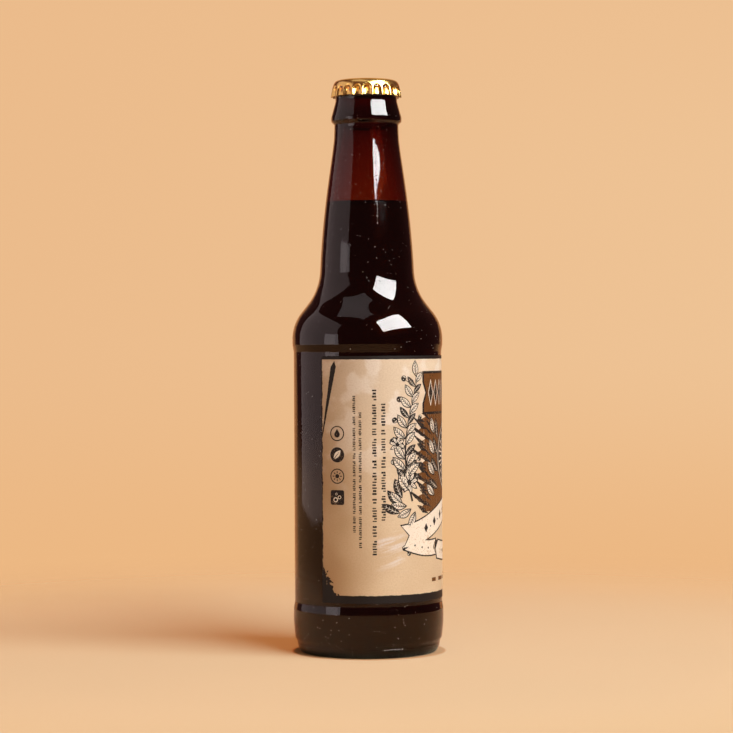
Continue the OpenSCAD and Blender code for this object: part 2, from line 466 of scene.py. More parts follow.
def wrapped(piece, radius):
    # a flat sheet in X (round the bottle) and Y (up), centred on the front, goes round the panel
    for vertex in piece.data.vertices:
        s, h, d = vertex.co / mm
        a = s / label["radius"] - math.pi / 2
        r = radius + d
        vertex.co = Vector((r * math.cos(a), r * math.sin(a), h)) * mm
    piece.data.update()
    return piece


def wrappedSheet(name, outer, thickness):
    middle = (label["low"] + label["height"] / 2) * mm
    bpy.ops.mesh.primitive_grid_add(x_subdivisions=label["across"], y_subdivisions=label["up"], size=1,
                                    calc_uvs=True, location=(0, middle, 0))
    piece = bpy.context.object
    bpy.ops.transform.resize(value=(2 * labelHalf * mm, label["height"] * mm, 1))
    piece.name = piece.data.name = name
    settle(piece)
    return thickened(wrapped(piece, outer), thickness, 40)


labelSheet = wrappedSheet("labelSheet", label["radius"], label["paper"])
labelGlue = wrappedSheet("labelGlue", label["glueRadius"], label["glue"])
for piece, node, slot in ((labelSheet, "wrap_label", "label_paper"),
                          (labelGlue, "label_adhesive", "adhesive")):
    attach(piece, "bottle")
    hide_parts(node)


def labelFinish():
    look = {"tan": rgb(231, 211, 178), "light": rgb(244, 236, 224), "deepToneAndShade": rgb(174, 137, 94),
            "black": rgb(27, 24, 22), "rusty": rgb(40, 35, 32), "paintedSheen": rgb(236, 230, 224),
            "speck": rgb(120, 84, 52), "top": 1.4, "bottom": 3.2}
    f = Finish("kraftLabel")
    uv = f.node("ShaderNodeUVMap")
    u, v, _ = f.split(uv)
    s = (u - 0.5) * (2 * labelHalf)     # mm round the panel from the front
    h = v * label["height"]             # mm up from the label's lower edge
    flat = f.joint(s, h)
    coarse = f.noise(flat, 0.035, 2.0)
    blots = f.noise(flat, 0.11, 3.0, 0.45)
    grain = f.noise(flat, 1.6, 4.0, 0.6)
    fibres = f.noise(f.joint(s * 0.35, h * 2.2), 1.2, 3.0)
    # painted shade: the paper darkens towards both ends, where the label turns away from the key light; worn
    # pale patches, most of them in the upper part
    ends = abs(s).soft(40, 68)
    worn = blots.soft(0.48, 0.6) * h.soft(30, 75) * (1 - ends * 0.45)
    # deep brown carries a cloudy tone and the painted shade at the ends
    colour = f.mix((coarse.soft(0.3, 0.7) * 0.25 + ends * 0.6).held(), look["tan"], look["deepToneAndShade"])
    colour = f.mix(h.soft(20, 97) * 0.25, colour, look["light"])
    colour = f.mix(worn * 0.62, colour, look["light"])
    # painted highlight: pale streaks low on the left, standing in for the key light's sheen on the label's
    # wrinkles
    lean = s + h * 0.35
    sheenStreaks = f.noise(f.joint(lean * 0.045, (h - s * 0.3) * 0.36), 1.0, 4.0, 0.6).soft(0.5, 0.66)
    sheenSpot = (1 - abs(s + 41).soft(3, 9)) * (1 - abs(h - 21).soft(3, 10))
    colour = f.mix(sheenStreaks * sheenSpot * 0.85, colour, look["paintedSheen"])
    colour = f.mix(grain.soft(0.35, 0.75) * 0.22, colour, look["deepToneAndShade"])
    specks = f.cells(flat, 0.55)
    colour = f.mix((1 - specks.soft(0.03, 0.07)) * 0.45, colour, look["speck"])
    # torn black edge round the tan field
    tornA = f.noise(flat, 0.35, 4.0, 0.6)
    tornB = f.noise(flat, 1.3, 3.0, 0.6)
    rag = (tornA - 0.5) * 1.6 + (tornB - 0.5) * 0.9
    topEdge = look["top"] - (label["height"] - h) + rag * 0.22
    bottomEdge = look["bottom"] - h + rag * 0.55
    sideEdge = 0.5 - (labelHalf - abs(s)) + rag * 0.9
    # a bite out of each lower corner
    curls = f.noise(f.joint(s + h * 0.4, h - s * 0.3), 0.42, 1.0, distortion=1.2)
    bite = 9.0 - ((labelHalf - abs(s)) * 1.05 + h * 0.62) + rag * 2.2 + (curls - 0.5) * 9
    # a slanting dry stroke by each upper corner
    across = (labelHalf - abs(s)) - 0.8 - (h - 68) * 0.19
    stroke = (0.25 + (h - 66) * 0.036).low((95.6 - h) * 0.5) - abs(across) + rag * 0.3
    ink = topEdge.high(bottomEdge).high(sideEdge).high(bite).high(stroke).soft(0.0, 0.12)
    colour = f.mix(ink, colour, f.mix(grain, look["black"], look["rusty"]))
    rough = 0.58 + (grain - 0.5) * 0.12 - ink * 0.12
    f.shaded({"Base Color": colour, "Roughness": rough, "IOR": 1.45, "Specular IOR Level": 0.22,
              "Normal": f.bump(grain * 0.5 + fibres * 0.5, 0.25, 0.03 * mm)})
    return f


def glueFinish():
    f = Finish("labelAdhesive")
    cloud = f.noise(f.place(), 0.8, 3.0)
    f.shaded({"Base Color": f.mix(cloud, rgb(150, 132, 100), rgb(176, 160, 128)),
              "Roughness": 0.35 + cloud * 0.2, "Normal": f.bump(cloud, 0.2, 0.02 * mm)})
    return f


labelFinish().on(labelSheet)
glueFinish().on(labelGlue)
print("label ready")


# printed artwork

# all of it is drawn flat in mm, X round the bottle from the front and Y up, then cut into strips and wrapped
inks = {"black": [], "cream": [], "brown": []}
layers = {"ground": 0.01, "groundTop": 0.016, "cream": 0.022, "black": 0.034,
          "brown": 0.046, "creamTop": 0.058, "blackTop": 0.07}


def flatShape(ink, points, layer=None):
    bpy.ops.mesh.primitive_circle_add(vertices=len(points), radius=mm, fill_type="NGON", location=(0, 0, 0))
    piece = bpy.context.object
    depth = layers[layer or ink]
    for vertex, (s, h) in zip(piece.data.vertices, points):
        vertex.co = Vector((s, h, depth)) * mm
    area = sum(a[0] * b[1] - b[0] * a[1] for a, b in zip(points, points[1:] + points[:1]))
    if area < 0:
        editAll(piece)
        bpy.ops.mesh.flip_normals()
        leaveEdit()
    inks[ink].append(piece)


def bar(ink, s, h, width, height):
    flatShape(ink, [(s - width / 2, h - height / 2), (s + width / 2, h - height / 2),
                    (s + width / 2, h + height / 2), (s - width / 2, h + height / 2)])


def sidesOf(path, halves, longer=0.0):
    # both edges of a band that follows the path, and goes past its ends by longer
    left, right = [], []
    for i, (s, h) in enumerate(path):
        before, after = path[max(0, i - 1)], path[min(len(path) - 1, i + 1)]
        along = Vector((after[0] - before[0], after[1] - before[1])).normalized()
        past = longer * ((i == len(path) - 1) - (i == 0))
        s, h = s + along.x * past, h + along.y * past
        left.append((s - along.y * halves[i], h + along.x * halves[i]))
        right.append((s + along.y * halves[i], h - along.x * halves[i]))
    return left, right


def strokeShape(ink, path, widths, layer=None):
    # a line of changing width along the path
    left, right = sidesOf(path, [width / 2 for width in widths])
    flatShape(ink, right + left[::-1], layer)


def polar(radius, degrees, s=0.0, h=0.0):
    # a point on a circle round (s, h)
    a = math.radians(degrees)
    return s + radius * math.cos(a), h + radius * math.sin(a)


def placed(points, s, h, degrees):
    c, d = math.cos(math.radians(degrees)), math.sin(math.radians(degrees))
    return [(s + x * c - y * d, h + x * d + y * c) for x, y in points]


def ringOf(s, h, radius, start=0.0, end=360.0, count=24):
    return [polar(radius, start + (end - start) * k / count, s, h) for k in range(count + 1)]


def disc(ink, s, h, radius, layer=None, count=24):
    flatShape(ink, ringOf(s, h, radius, count=count)[:-1], layer)


def hoop(ink, s, h, radius, width, layer=None):
    for start in (0, 180):
        strokeShape(ink, ringOf(s, h, radius, start, start + 180, 14), [width] * 15, layer)


def blade(length, width, bend=0.0, sharp=0.9, count=9):
    # the outline of a pointed leaf from (0, 0) along X
    def edge(side, k):
        t = k / count
        return length * t, side * width / 2 * math.sin(math.pi * t) ** sharp + bend * math.sin(math.pi * t)
    return [edge(1, k) for k in range(count + 1)] + [edge(-1, k) for k in range(count - 1, 0, -1)]


def motif(build):
    # shapes made by build(), taken out of the ink lists so that they can be stamped
    before = {ink: len(made) for ink, made in inks.items()}
    build()
    parts = []
    for ink, made in inks.items():
        new = made[before[ink]:]
        if new:
            parts.append((ink, joined("stamp_" + ink, new)))
            del made[before[ink]:]
    return parts


def stamp(parts, s, h, degrees, size):
    for ink, part in parts:
        pick(part)
        bpy.ops.object.duplicate()
        copy = bpy.context.object
        copy.location = (s * mm, h * mm, 0)
        copy.rotation_euler = (0, 0, math.radians(degrees))
        copy.scale = (size, size, 1)
        settle(copy, smooth=False)
        inks[ink].append(copy)


def discard(*motifs):
    for parts in motifs:
        pick(*[part for _, part in parts])
        bpy.ops.object.delete()


def leafShapes():
    flatShape("black", blade(10, 4.6, 0.6))
    flatShape("cream", [(0.9 + s * 0.84, h * 0.76 + 0.1) for s, h in blade(10, 4.6, 0.6)], "creamTop")
    strokeShape("black", [(0.3, 0.05), (3.2, 0.62), (6.2, 0.68), (9.2, 0.25)],
                [0.5, 0.42, 0.3, 0.1], "blackTop")
    for k in range(5):
        t = 1.7 + k * 1.45
        rise = 0.6 * math.sin(math.pi * t / 10)
        for side in (1, -1):
            reach = 1.5 * math.sin(math.pi * (t + 0.7) / 10)
            vein = [(t, rise), (t + 0.8, rise + side * reach * 0.62), (t + 1.4, rise + side * reach)]
            strokeShape("black", vein, [0.34, 0.26, 0.08], "blackTop")
            if side < 0:
                vein = [(t + 0.75, rise - 0.1), (t + 1.5, rise - reach * 0.85)]
                strokeShape("black", vein, [0.3, 0.06], "blackTop")


def darkLeafShapes():
    flatShape("black", blade(9, 3.6, 0.4, 0.8))
    strokeShape("cream", [(0.8, 0.1), (3.4, 0.45), (7.9, 0.2)], [0.22, 0.2, 0.06], "creamTop")
    for k in range(4):
        t = 1.9 + k * 1.45
        for side in (1, -1):
            strokeShape("cream", [(t, 0.38), (t + 0.9, 0.38 + side * 0.95)], [0.16, 0.05], "creamTop")


def berryShapes():
    disc("black", 0, 0, 1.25, count=16)
    strokeShape("cream", ringOf(0, 0, 0.75, 70, 190, 6),
                [0.06, 0.22, 0.32, 0.36, 0.32, 0.22, 0.06], "creamTop")
    disc("cream", 0.3, -0.35, 0.17, "creamTop", 8)


def spiceStarShapes():
    petal = blade(4.6, 1.75, 0, 0.75, 7)
    for k in range(8):
        lean = 45 * k + 12
        for ink, layer, size, move in (("black", None, 1.0, 0), ("cream", "creamTop", 0.62, 0.95)):
            flatShape(ink, placed([(move + s * size, h * size) for s, h in petal], 0, 0, lean), layer)
        strokeShape("black", [polar(1.5, lean), polar(3.2, lean)], [0.3, 0.06], "blackTop")
    disc("black", 0, 0, 0.8, "blackTop", 10)


def ticks(boxes):
    # many small bars in one strip, whose every other face is deleted
    bpy.ops.mesh.primitive_grid_add(x_subdivisions=1, y_subdivisions=2 * len(boxes) - 1, size=mm,
                                    location=(0, 0, 0))
    piece = bpy.context.object
    corners = [(s + side * w / 2, h + level * t / 2)
               for s, h, w, t in boxes for level in (-1, 1) for side in (-1, 1)]
    for vertex, (s, h) in zip(piece.data.vertices, corners):
        vertex.co = Vector((s, h, layers["black"])) * mm
    bpy.ops.object.mode_set(mode="EDIT")
    bpy.ops.mesh.select_mode(type="FACE")
    bpy.ops.mesh.select_all(action="DESELECT")
    leaveEdit()
    for face in piece.data.polygons:
        face.select = min(face.vertices) % 4 == 2
    bpy.ops.object.mode_set(mode="EDIT")
    bpy.ops.mesh.delete(type="FACE")
    bpy.ops.mesh.select_mode(type="VERT")
    leaveEdit()
    inks["black"].append(piece)


def wordBars(s, top, bottom, width, words, gap=0.8):
    # a column of short bars, longer and shorter, that reads as small print from far away
    h, k, boxes = top, 0, []
    while h > bottom:
        length = min(words[k % len(words)], h - bottom)
        if length > 0.5:
            step = width * 0.62
            count = max(1, round(length / step))
            for i in range(count):
                tall = width * (1.0, 0.8, 0.92, 0.62, 0.96, 0.76)[(i * 5 + k) % 6]
                thick = length / count * (0.5, 0.66, 0.56, 0.7, 0.46)[(i * 3 + k * 2) % 5]
                lift = (width - tall) * (0.5, -0.4, 0.1)[(i * 2 + k) % 3]
                boxes.append((s + lift, h - (i + 0.5) * length / count, tall, thick))
        h -= length + gap
        k += 1
    ticks(boxes[::-1])


def sideBadges(s, heights):
    # a drop in a ring
    h = heights[0]
    hoop("black", s, h, 2.8, 0.42)
    flatShape("black", [(s, h + 1.9)] + [polar(1.2, d, s, h - 0.4) for d in range(30, -211, -20)])
    # a leaf on a disc
    h = heights[1]
    disc("black", s, h, 3.0, count=28)
    flatShape("cream", placed(blade(4.6, 2.1), s - 1.5, h - 1.7, 50), "creamTop")
    strokeShape("black", [(s - 1.4, h - 1.6), (s + 0.9, h + 1.1)], [0.3, 0.1], "blackTop")
    # a sun in a ring
    h = heights[2]
    hoop("black", s, h, 2.8, 0.42)
    disc("black", s, h, 0.85, count=14)
    for k in range(8):
        strokeShape("black", [polar(1.2, 45 * k, s, h), polar(2.0, 45 * k, s, h)], [0.36, 0.36])
    # bubbles on a square
    h = heights[3]
    flatShape("black", [polar(0.7, a, s + sx * 2.2, h + sy * 2.2)
                        for sx, sy, start in ((1, 1, 0), (-1, 1, 90), (-1, -1, 180), (1, -1, 270))
                        for a in range(start, start + 91, 30)])
    for x, y, r in ((-0.7, -0.9, 1.0), (0.95, 0.1, 0.75), (-0.4, 1.35, 0.5)):
        disc("cream", s + x, h + y, r, "creamTop", 14)
        disc("black", s + x, h + y, r * 0.62, "blackTop", 12)


def diamond(ink, s, h, across, up, layer):
    flatShape(ink, [(s - across, h), (s, h - up), (s + across, h), (s, h + up)], layer)


def ribbon(path, half, tail, edge=0.55):
    # a cream ribbon with a dark edge and notched ends
    def outline(grow):
        left, right = sidesOf(path, [half + grow] * len(path), grow * 1.2)
        first, last = Vector(path[0]), Vector(path[-1])
        first = first + (Vector(path[1]) - first).normalized() * (tail - grow)
        last = last - (last - Vector(path[-2])).normalized() * (tail - grow)
        return right + [tuple(last)] + left[::-1] + [tuple(first)]
    flatShape("black", outline(edge))
    flatShape("cream", outline(0.0), "creamTop")


def frontArtwork(leaf, darkLeaf, berry, star):
    # leaf wreath beside the front, both sides
    for side in (-1, 1):
        stem = [(side * (31.5 + 3.2 * math.sin(k / 12 * math.pi * 1.3)), 62 + k * 4.1) for k in range(13)]
        strokeShape("black", stem, [0.9 - 0.045 * k for k in range(13)])
        for k, (s, h) in enumerate(stem[1:-1]):
            lean = 90 - side * (38 + 5 * (k % 3))
            other = 90 + side * (42 + 6 * (k % 2))
            size = 0.86 - 0.022 * k
            stamp(leaf if k % 3 != 1 else darkLeaf, s, h, lean, size)
            stamp(darkLeaf if k % 3 == 0 else leaf, s, h + 1.6, other, size * 0.92)
            if k % 2 == 0:
                stamp(berry, s + side * 5.6, h + 3.4, 30 * k, 0.95)
                strokeShape("black", [(s, h + 0.5), (s + side * 3.0, h + 1.6), (s + side * 4.8, h + 2.8)],
                            [0.34, 0.28, 0.22])
            if k % 4 == 2 and k < 9:
                stamp(berry, s - side * 6.3, h + 4.4, 50 * k, 0.8)
        for k in range(6):
            stamp(darkLeaf, side * (37.2 - k * 0.5), 57.5 + k * 2.9, 90 - side * (64 - k * 21), 0.95)
        for k in range(4):
            stamp(leaf, side * (30.0 + k * 2.0), 58.0 + k * 1.1, 90 - side * (150 - k * 34), 0.72)
        stamp(leaf, stem[-1][0], stem[-1][1] - 0.4, 90 - side * 8, 0.7)
        stamp(star, side * 33.0, 69.5, 0, 1.05)
        stamp(star, side * 38.2, 84.5, 20, 0.8)
    # brown woodland behind the medallion, with ragged sides
    sides = [[(side * (27.2 + 1.9 * math.sin(k * 2.1) + 1.3 * math.sin(k * 5.3 + side)), 57.5 + k * 1.45)
              for k in range(28)] for side in (-1, 1)]
    flatShape("brown", sides[1] + sides[0][::-1], "ground")
    for side, edge in zip((-1, 1), sides):
        for k, (s, h) in enumerate(edge[:-2]):
            reach = 2.2 + 1.6 * math.sin(k * 3.7)
            tuft = [(s - side * 3.4, h - 0.6), (s - side * 0.4, h + 0.4), (s + side * reach, h + reach)]
            strokeShape("black", tuft, [0.3, 1.5, 0.12], "groundTop")
            if k % 2:
                tuft = [(s - side * 7.5, h), (s - side * 5.0, h + 1.4), (s - side * 2.6, h + 3.4)]
                strokeShape("black", tuft, [0.2, 1.1, 0.1], "groundTop")
    # brown plaque with a double edge and a row of diamonds
    def plaque(grow):
        return [(-25 - grow, 97 - grow), (25 + grow, 97 - grow), (25 + grow, 100.5), (23.2 + grow, 104.7),
                (25 + grow, 109), (25 + grow, 112.4 + grow), (-25 - grow, 112.4 + grow), (-25 - grow, 109),
                (-23.2 - grow, 104.7), (-25 - grow, 100.5)]
    flatShape("black", plaque(0.9))
    flatShape("cream", plaque(0.45), "cream")
    flatShape("brown", plaque(-0.1), "brown")
    for k in range(-5, 6):
        for ink, layer, size in (("black", "blackTop", 1.0), ("cream", "creamTop", 1.22)):
            diamond(ink, k * 4.1, 104.7, 1.5 * size, 4.4 * size, layer)
    # medallion with rays, a drop and dots
    disc("black", 0, 79, 15.2, count=60)
    hoop("cream", 0, 79, 14.1, 0.5, "creamTop")
    for k in range(36):
        reach = 12.6 if k % 2 else 11.2
        strokeShape("cream", [polar(8.2, 10 * k, 0, 79), polar(reach, 10 * k, 0, 79)],
                    [0.28, 0.7], "creamTop")
    disc("cream", 0, 79, 7.2, "creamTop", 40)
    flatShape("black", [(0, 85)] + [polar(3.4, d, 0, 77.2) for d in range(28, -209, -14)], "blackTop")
    for side in (-1, 1):
        for k in range(4):
            stamp(darkLeaf, side * 14.4, 66.4 + k * 6.6, 90 - side * (62 - 16 * k), 0.95)
            stamp(leaf, side * 17.6, 63.6 + k * 8.1, 90 - side * (50 - 10 * k), 0.78)
    # two blank ribbons
    wave = [(s, 54.5 + 3.6 * math.cos(s / 34 * math.pi) - 0.0022 * s * s) for s in range(-36, 37, 3)]
    ribbon(wave, 4.3, 3.2)
    for k in range(-4, 5):
        at = 12 + 2 * k
        s, h = wave[at]
        diamond("black", s, h, 1.2, 1.9, "blackTop")
        if k < 4:
            disc("black", s + 3, (h + wave[at + 1][1]) / 2, 0.36, "blackTop", 8)
    for side in (-1, 1):
        under = [(side * (17 + k * 1.9), 43.2 - 1.1 * math.sin(k / 9 * math.pi) + k * 0.28)
                 for k in range(10)]
        ribbon(under, 2.9, 2.2)
        for k in (3, 5, 7):
            disc("black", *under[k], 0.42, "blackTop", 8)
        strokeShape("black", [(side * 12.5, 45.6), (side * 15.4, 44.2), (side * 17.6, 44.6)], [0.3, 2.6, 4.8])
    ribbon([(s, 40.6 + 0.0065 * s * s) for s in range(-15, 16, 3)], 3.5, -1.8)
    for k in range(-3, 4):
        disc("black", k * 3.2, 40.6 + 0.0065 * (k * 3.2) ** 2, 0.9 if k % 2 == 0 else 0.45, "blackTop", 12)
    for side in (-1, 1):
        stamp(darkLeaf, side * 30.5, 47.0, 90 + side * 160, 0.8)
        stamp(berry, side * 35.2, 43.6, 0, 0.9)
        stamp(berry, side * 33.2, 41.4, 80, 0.75)
    for k in range(7):
        bar("brown", -18.5 + k * 6.1 + (0.5 if k % 2 else 0), 30.2, 4.4 if k % 3 else 3.2, 1.5)


def sideArtwork():
    # left of the front: badges at the edge, then columns of small print as bars
    sideBadges(-62.6, (89, 80.6, 72.2, 63.8))
    words = (7.4, 3.6, 9.2, 2.4, 6.1, 4.8, 8.3, 3.0)
    wordBars(-55.6, 104.0, 50.0, 1.15, words)
    wordBars(-53.2, 97.5, 43.0, 1.15, words[3:] + words[:3])
    wordBars(-47.6, 106.5, 41.0, 1.75, words[5:] + words[:5], 1.1)
    wordBars(-44.0, 101.0, 54.5, 1.75, words[2:] + words[:2], 1.1)
    # right of the front: a ruled table of bars and a block of plain lines
    for h in (104.5, 92.0, 62.0, 49.5):
        bar("black", 56.0, h, 21.0, 0.7)
    for k in range(8):
        bar("black", 56.0, 88.6 - k * 3.4, 21.0, 0.18)
        bar("black", 49.6 + (k % 3) * 0.5, 90.2 - k * 3.4, 7.4 + (k % 3), 1.3)
        bar("black", 64.3 - (k % 2) * 0.3, 90.2 - k * 3.4, 3.4 + (k % 2) * 0.6, 1.3)
    for side in (-1, 1):
        bar("black", 56.0 + side * 10.8, 77.0, 0.4, 55.7)
    bar("black", 56.0, 99.6, 17.0, 3.2)
    bar("black", 53.2, 95.0, 11.4, 1.2)
    for k in range(4):
        bar("black", 55.0 - (k % 2) * 1.4, 58.6 - k * 2.4, 17.0 - (k % 2) * 2.8, 1.1)
    for k in range(3):
        bar("brown", 55.5 + k * 0.4, 44.0 - k * 3.2, 18.5 - k * 3.6, 1.4)


def wrapInk(name, ink, step=3.0):
    # cut every few degrees, so that it bends round the bottle
    piece = joined(name, inks[ink])
    editAll()
    bpy.ops.mesh.quads_convert_to_tris(ngon_method="CLIP")
    width = math.radians(step) * label["radius"]
    for k in range(1, int(2 * labelHalf / width)):
        bpy.ops.mesh.select_all(action="SELECT")
        bpy.ops.mesh.bisect(plane_co=((k * width - labelHalf) * mm, 0, 0), plane_no=(1, 0, 0))
    leaveEdit()
    wrapped(piece, label["radius"])
    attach(piece, "bottle")
    return piece


motifs = [motif(shapes) for shapes in (leafShapes, darkLeafShapes, berryShapes, spiceStarShapes)]
frontArtwork(*motifs)
sideArtwork()
discard(*motifs)
inkBlack = wrapInk("inkBlack", "black")
inkCream = wrapInk("inkCream", "cream")
inkBrown = wrapInk("inkBrown", "brown")
print("artwork:", [len(p.data.polygons) for p in (inkBlack, inkCream, inkBrown)], "faces")


def inkFinish(name, colour, thin, rough):
    # printed ink with small dry spots where the paper shows through
    f = Finish(name)
    spot = f.place()
    dry = f.noise(spot, 1.5, 4.0, 0.65)
    patch = f.noise(spot, 0.12, 2.0)
    gone = (dry + patch * 0.35).soft(0.73, 0.84)
    tone = f.mix(patch, colour, tuple(c * 1.18 for c in colour[:3]) + (1,))
    f.shaded({"Base Color": f.mix(gone * 0.8, tone, thin), "Roughness": rough + dry * 0.12,
              "Specular IOR Level": 0.22, "Normal": f.bump(dry, 0.2, 0.02 * mm)})
    return f


inkFinish("blackInk", rgb(30, 26, 25), rgb(150, 122, 94), 0.46).on(inkBlack)
inkFinish("creamInk", rgb(236, 227, 210), rgb(205, 176, 140), 0.52).on(inkCream)
inkFinish("brownInk", rgb(108, 66, 24), rgb(60, 38, 18), 0.48).on(inkBrown)


# crown cap

crown = {
    "flutes": 21, "sectorSteps": 20, "wall": 0.24, "longest": 0.32,
    "depth": 0.9, "archTop": 228.5, "archDrop": 1.3, "growth": 2.2, "flat": 0.08, "crest": 0.34,
    "scallop": 0.3, "scallopFrom": 225.5, "scallopRise": 1.9,
    # (radius on a flute, height), from the middle of the top to the edge
    "path": [
        (0, 230.64), (4, 230.62), (8, 230.58), (10.2, 230.53), (11.1, 230.46), (11.6, 230.36),
        (11.95, 230.24), (12.25, 230.08), (12.52, 229.86), (12.76, 229.58), (12.98, 229.24),
        (13.18, 228.84), (13.37, 228.36), (13.54, 227.8), (13.7, 227.2), (13.84, 226.6), (13.97, 226.0),
        (14.09, 225.4), (14.19, 224.8), (14.27, 224.2), (14.32, 223.62)],
}


def crownCapMesh():
    c = crown
    sector = turn / c["flutes"]
    path = [Vector(p) for p in c["path"]]
    path = path[:4] + evened(path[4:], c["longest"])
    piece = turned("crownCap", path, c["sectorSteps"], sector)
    for vertex in piece.data.vertices:
        x, y, z = vertex.co / mm
        t = abs((math.atan2(y, x) / sector) % 1.0 - 0.5) * 2  # 0 on a flute's crest, 1 between two
        arch = c["archTop"] - c["archDrop"] * (1 - t) ** 2
        grown = max(0.0, min(1.0, (arch - z) / c["growth"]))
        grown = grown * grown * (3 - 2 * grown)
        dip = min(1.0, max(0.0, t - c["flat"]) / c["crest"] / 2)
        pressed = c["depth"] * grown * math.sin(dip * math.pi / 2)
        pressed *= 0.8 + 0.2 * math.sin(t * math.pi / 2)
        r = math.hypot(x, y)
        if r > 1e-6:
            vertex.co -= Vector((x / r, y / r, 0)) * pressed * mm
            if z < c["scallopFrom"]:
                share = (pressed / c["depth"]) * (c["scallopFrom"] - z) / c["scallopRise"]
                vertex.co.z += c["scallop"] * share * mm
    copies = [swung(piece, turn / 4 - sector / 2)]
    for k in range(1, c["flutes"]):
        pick(piece)
        bpy.ops.object.duplicate()
        copies.append(swung(bpy.context.object, k * sector))
    piece = joined("crownCap", copies)
    editAll()
    closeUp(0.01)
    return thickened(piece, c["wall"], 50)


crownCap = crownCapMesh()
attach(crownCap, "crown")
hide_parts("crown_shell")
top = max(v.co.z for v in crownCap.data.vertices)
print("crown cap:", len(crownCap.data.vertices), "points, top", round(top / mm, 2))


def crownFinish():
    look = {"gold": rgb(246, 204, 110), "paleGold": rgb(252, 216, 128), "lowSkirtEdge": rgb(226, 172, 92)}
    f = Finish("goldTinplate")
    spot = f.place()
    _, _, z = f.split(spot)
    cloud = f.noise(spot, 0.25, 3.0)
    peel = f.noise(spot, 1.3, 2.0)
    scratches = f.noise(f.stretched(spot, (0.25, 2.4, 0.6), (0, 0, 0.6)), 2.2, 2.0).soft(0.62, 0.7)
    colour = f.mix(cloud, look["gold"], look["paleGold"])
    # the skirt's lowest edge is darker and more orange
    colour = f.mix((1 - z.soft(223.6, 224.3)) * 0.4, colour, look["lowSkirtEdge"])
    f.shaded({"Base Color": colour, "Metallic": 1.0, "Roughness": 0.18 + cloud * 0.08 + scratches * 0.06,
              "Coat Weight": 0.6, "Coat Roughness": 0.05,
              "Normal": f.bump(peel * 0.7 + scratches * 0.12, 0.35, 0.05 * mm)})
    return f


crownFinish().on(crownCap)


# seal inside the crown

seal = {
    "steps": 96,
    # (radius, height, fillet): two ribs that the lip presses on, and the back that lies in the crown
    "path": [
        (0, 229.56, 0), (7.9, 229.56, 0.3), (8.5, 229.36, 0.2), (9.05, 229.01, 0.15), (9.6, 229.01, 0.1),
        (9.8, 229.16, 0.1), (10.1, 229.16, 0.1), (10.3, 229.01, 0.1), (10.9, 229.01, 0.1),
        (11.1, 229.16, 0.1), (11.4, 229.16, 0.1), (11.6, 229.01, 0.1), (12.1, 229.01, 0.25),
        (12.3, 229.3, 0.1), (11.7, 229.7, 0.2), (10.4, 230.1, 0.4), (5.3, 230.34, 2.0), (0, 230.36, 0)],
    "white": rgb(226, 226, 220), "greyed": rgb(214, 214, 206),
}
crownSeal = turned("crownSeal", evened(rounded(seal["path"], 15), 1.5), seal["steps"])
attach(crownSeal, "crown")
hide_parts("crown_liner")


def sealFinish():
    f = Finish("sealPlastic")
    spot = f.place()
    cloud = f.noise(spot, 0.3, 3.0)
    flow = f.noise(spot, 2.5, 2.0)
    f.shaded({"Base Color": f.mix(cloud, seal["greyed"], seal["white"]), "Roughness": 0.32 + flow * 0.1,
              "Normal": f.bump(flow, 0.2, 0.03 * mm)})
    return f


sealFinish().on(crownSeal)
print("crown ready")


# camera

view = {
    # angles in degrees, places in metres, the lens in mm
    "turn": -96.0, "distance": 0.971, "height": 0.1265, "left": 0.0004,
    "tilt": -0.68, "roll": -0.27, "lens": 117.87,
}


def makeCamera():
    a = math.radians(view["turn"])
    ahead = Vector((-math.sin(a), math.cos(a), 0))
    right = Vector((math.cos(a), math.sin(a), 0))
    bpy.ops.object.camera_add(location=-ahead * view["distance"] - right * view["left"]
                              + Vector((0, 0, view["height"])))
    camera = bpy.context.object
    camera.name = "viewCamera"
    look = Matrix.Rotation(a, 4, "Z") @ Matrix.Rotation(math.radians(90 + view["tilt"]), 4, "X")
    look = look @ Matrix.Rotation(math.radians(view["roll"]), 4, "Z")
    camera.rotation_euler = look.to_euler()
    camera.data.lens = view["lens"]
    camera.data.sensor_width = 36
    camera.data.clip_start = 0.02
    camera.data.dof.use_dof = False
    bpy.context.scene.camera = camera
    return ahead


ahead = makeCamera()
print("camera ready")


# light

keyPlace = {"turn": 43.4, "rise": 41.1, "away": 1.2, "width": 1.03, "height": 0.72,
            "faceTurn": 66.9, "faceRise": 19.1, "roll": -1.2}
lamps = {
    # angles are degrees right of the camera and above the floor, sizes are metres;
    # a lamp with light falls on surfaces, and one with shine only shows in gloss and glass
    "keyLight": {**keyPlace, "light": 7.9},
    "topLight": {"turn": -78.0, "rise": 89.9, "away": 8.0, "width": 0.15, "height": 0.15,
                 "light": 7838.0, "colour": (1.0, 0.28, 0.087)},
    "keyShine": {**keyPlace, "away": 1.18, "shine": 19.0, "colour": (1.0, 0.99, 0.98)},
    "leftPanel": {"turn": -85.5, "rise": 20.7, "away": 1.2, "width": 1.87, "height": 1.19,
                  "faceTurn": -91.0, "faceRise": 12.0, "shine": 0.6, "colour": (1.0, 0.81, 0.8)},
    "leftCard": {"turn": -56.0, "rise": 2.0, "away": 1.1, "width": 0.47, "height": 0.39,
                 "shine": 1.15, "colour": (1.0, 0.9, 0.92)},
    "ceilingPanel": {"turn": -40.0, "rise": 68.0, "away": 1.3, "width": 0.9, "height": 0.5,
                     "shine": 0.6, "colour": (1.0, 0.9, 0.9)},
}


def pointing(turnDegrees, riseDegrees):
    a, e = math.radians(view["turn"] + turnDegrees), math.radians(riseDegrees)
    return Vector((math.sin(a) * math.cos(e), -math.cos(a) * math.cos(e), math.sin(e)))


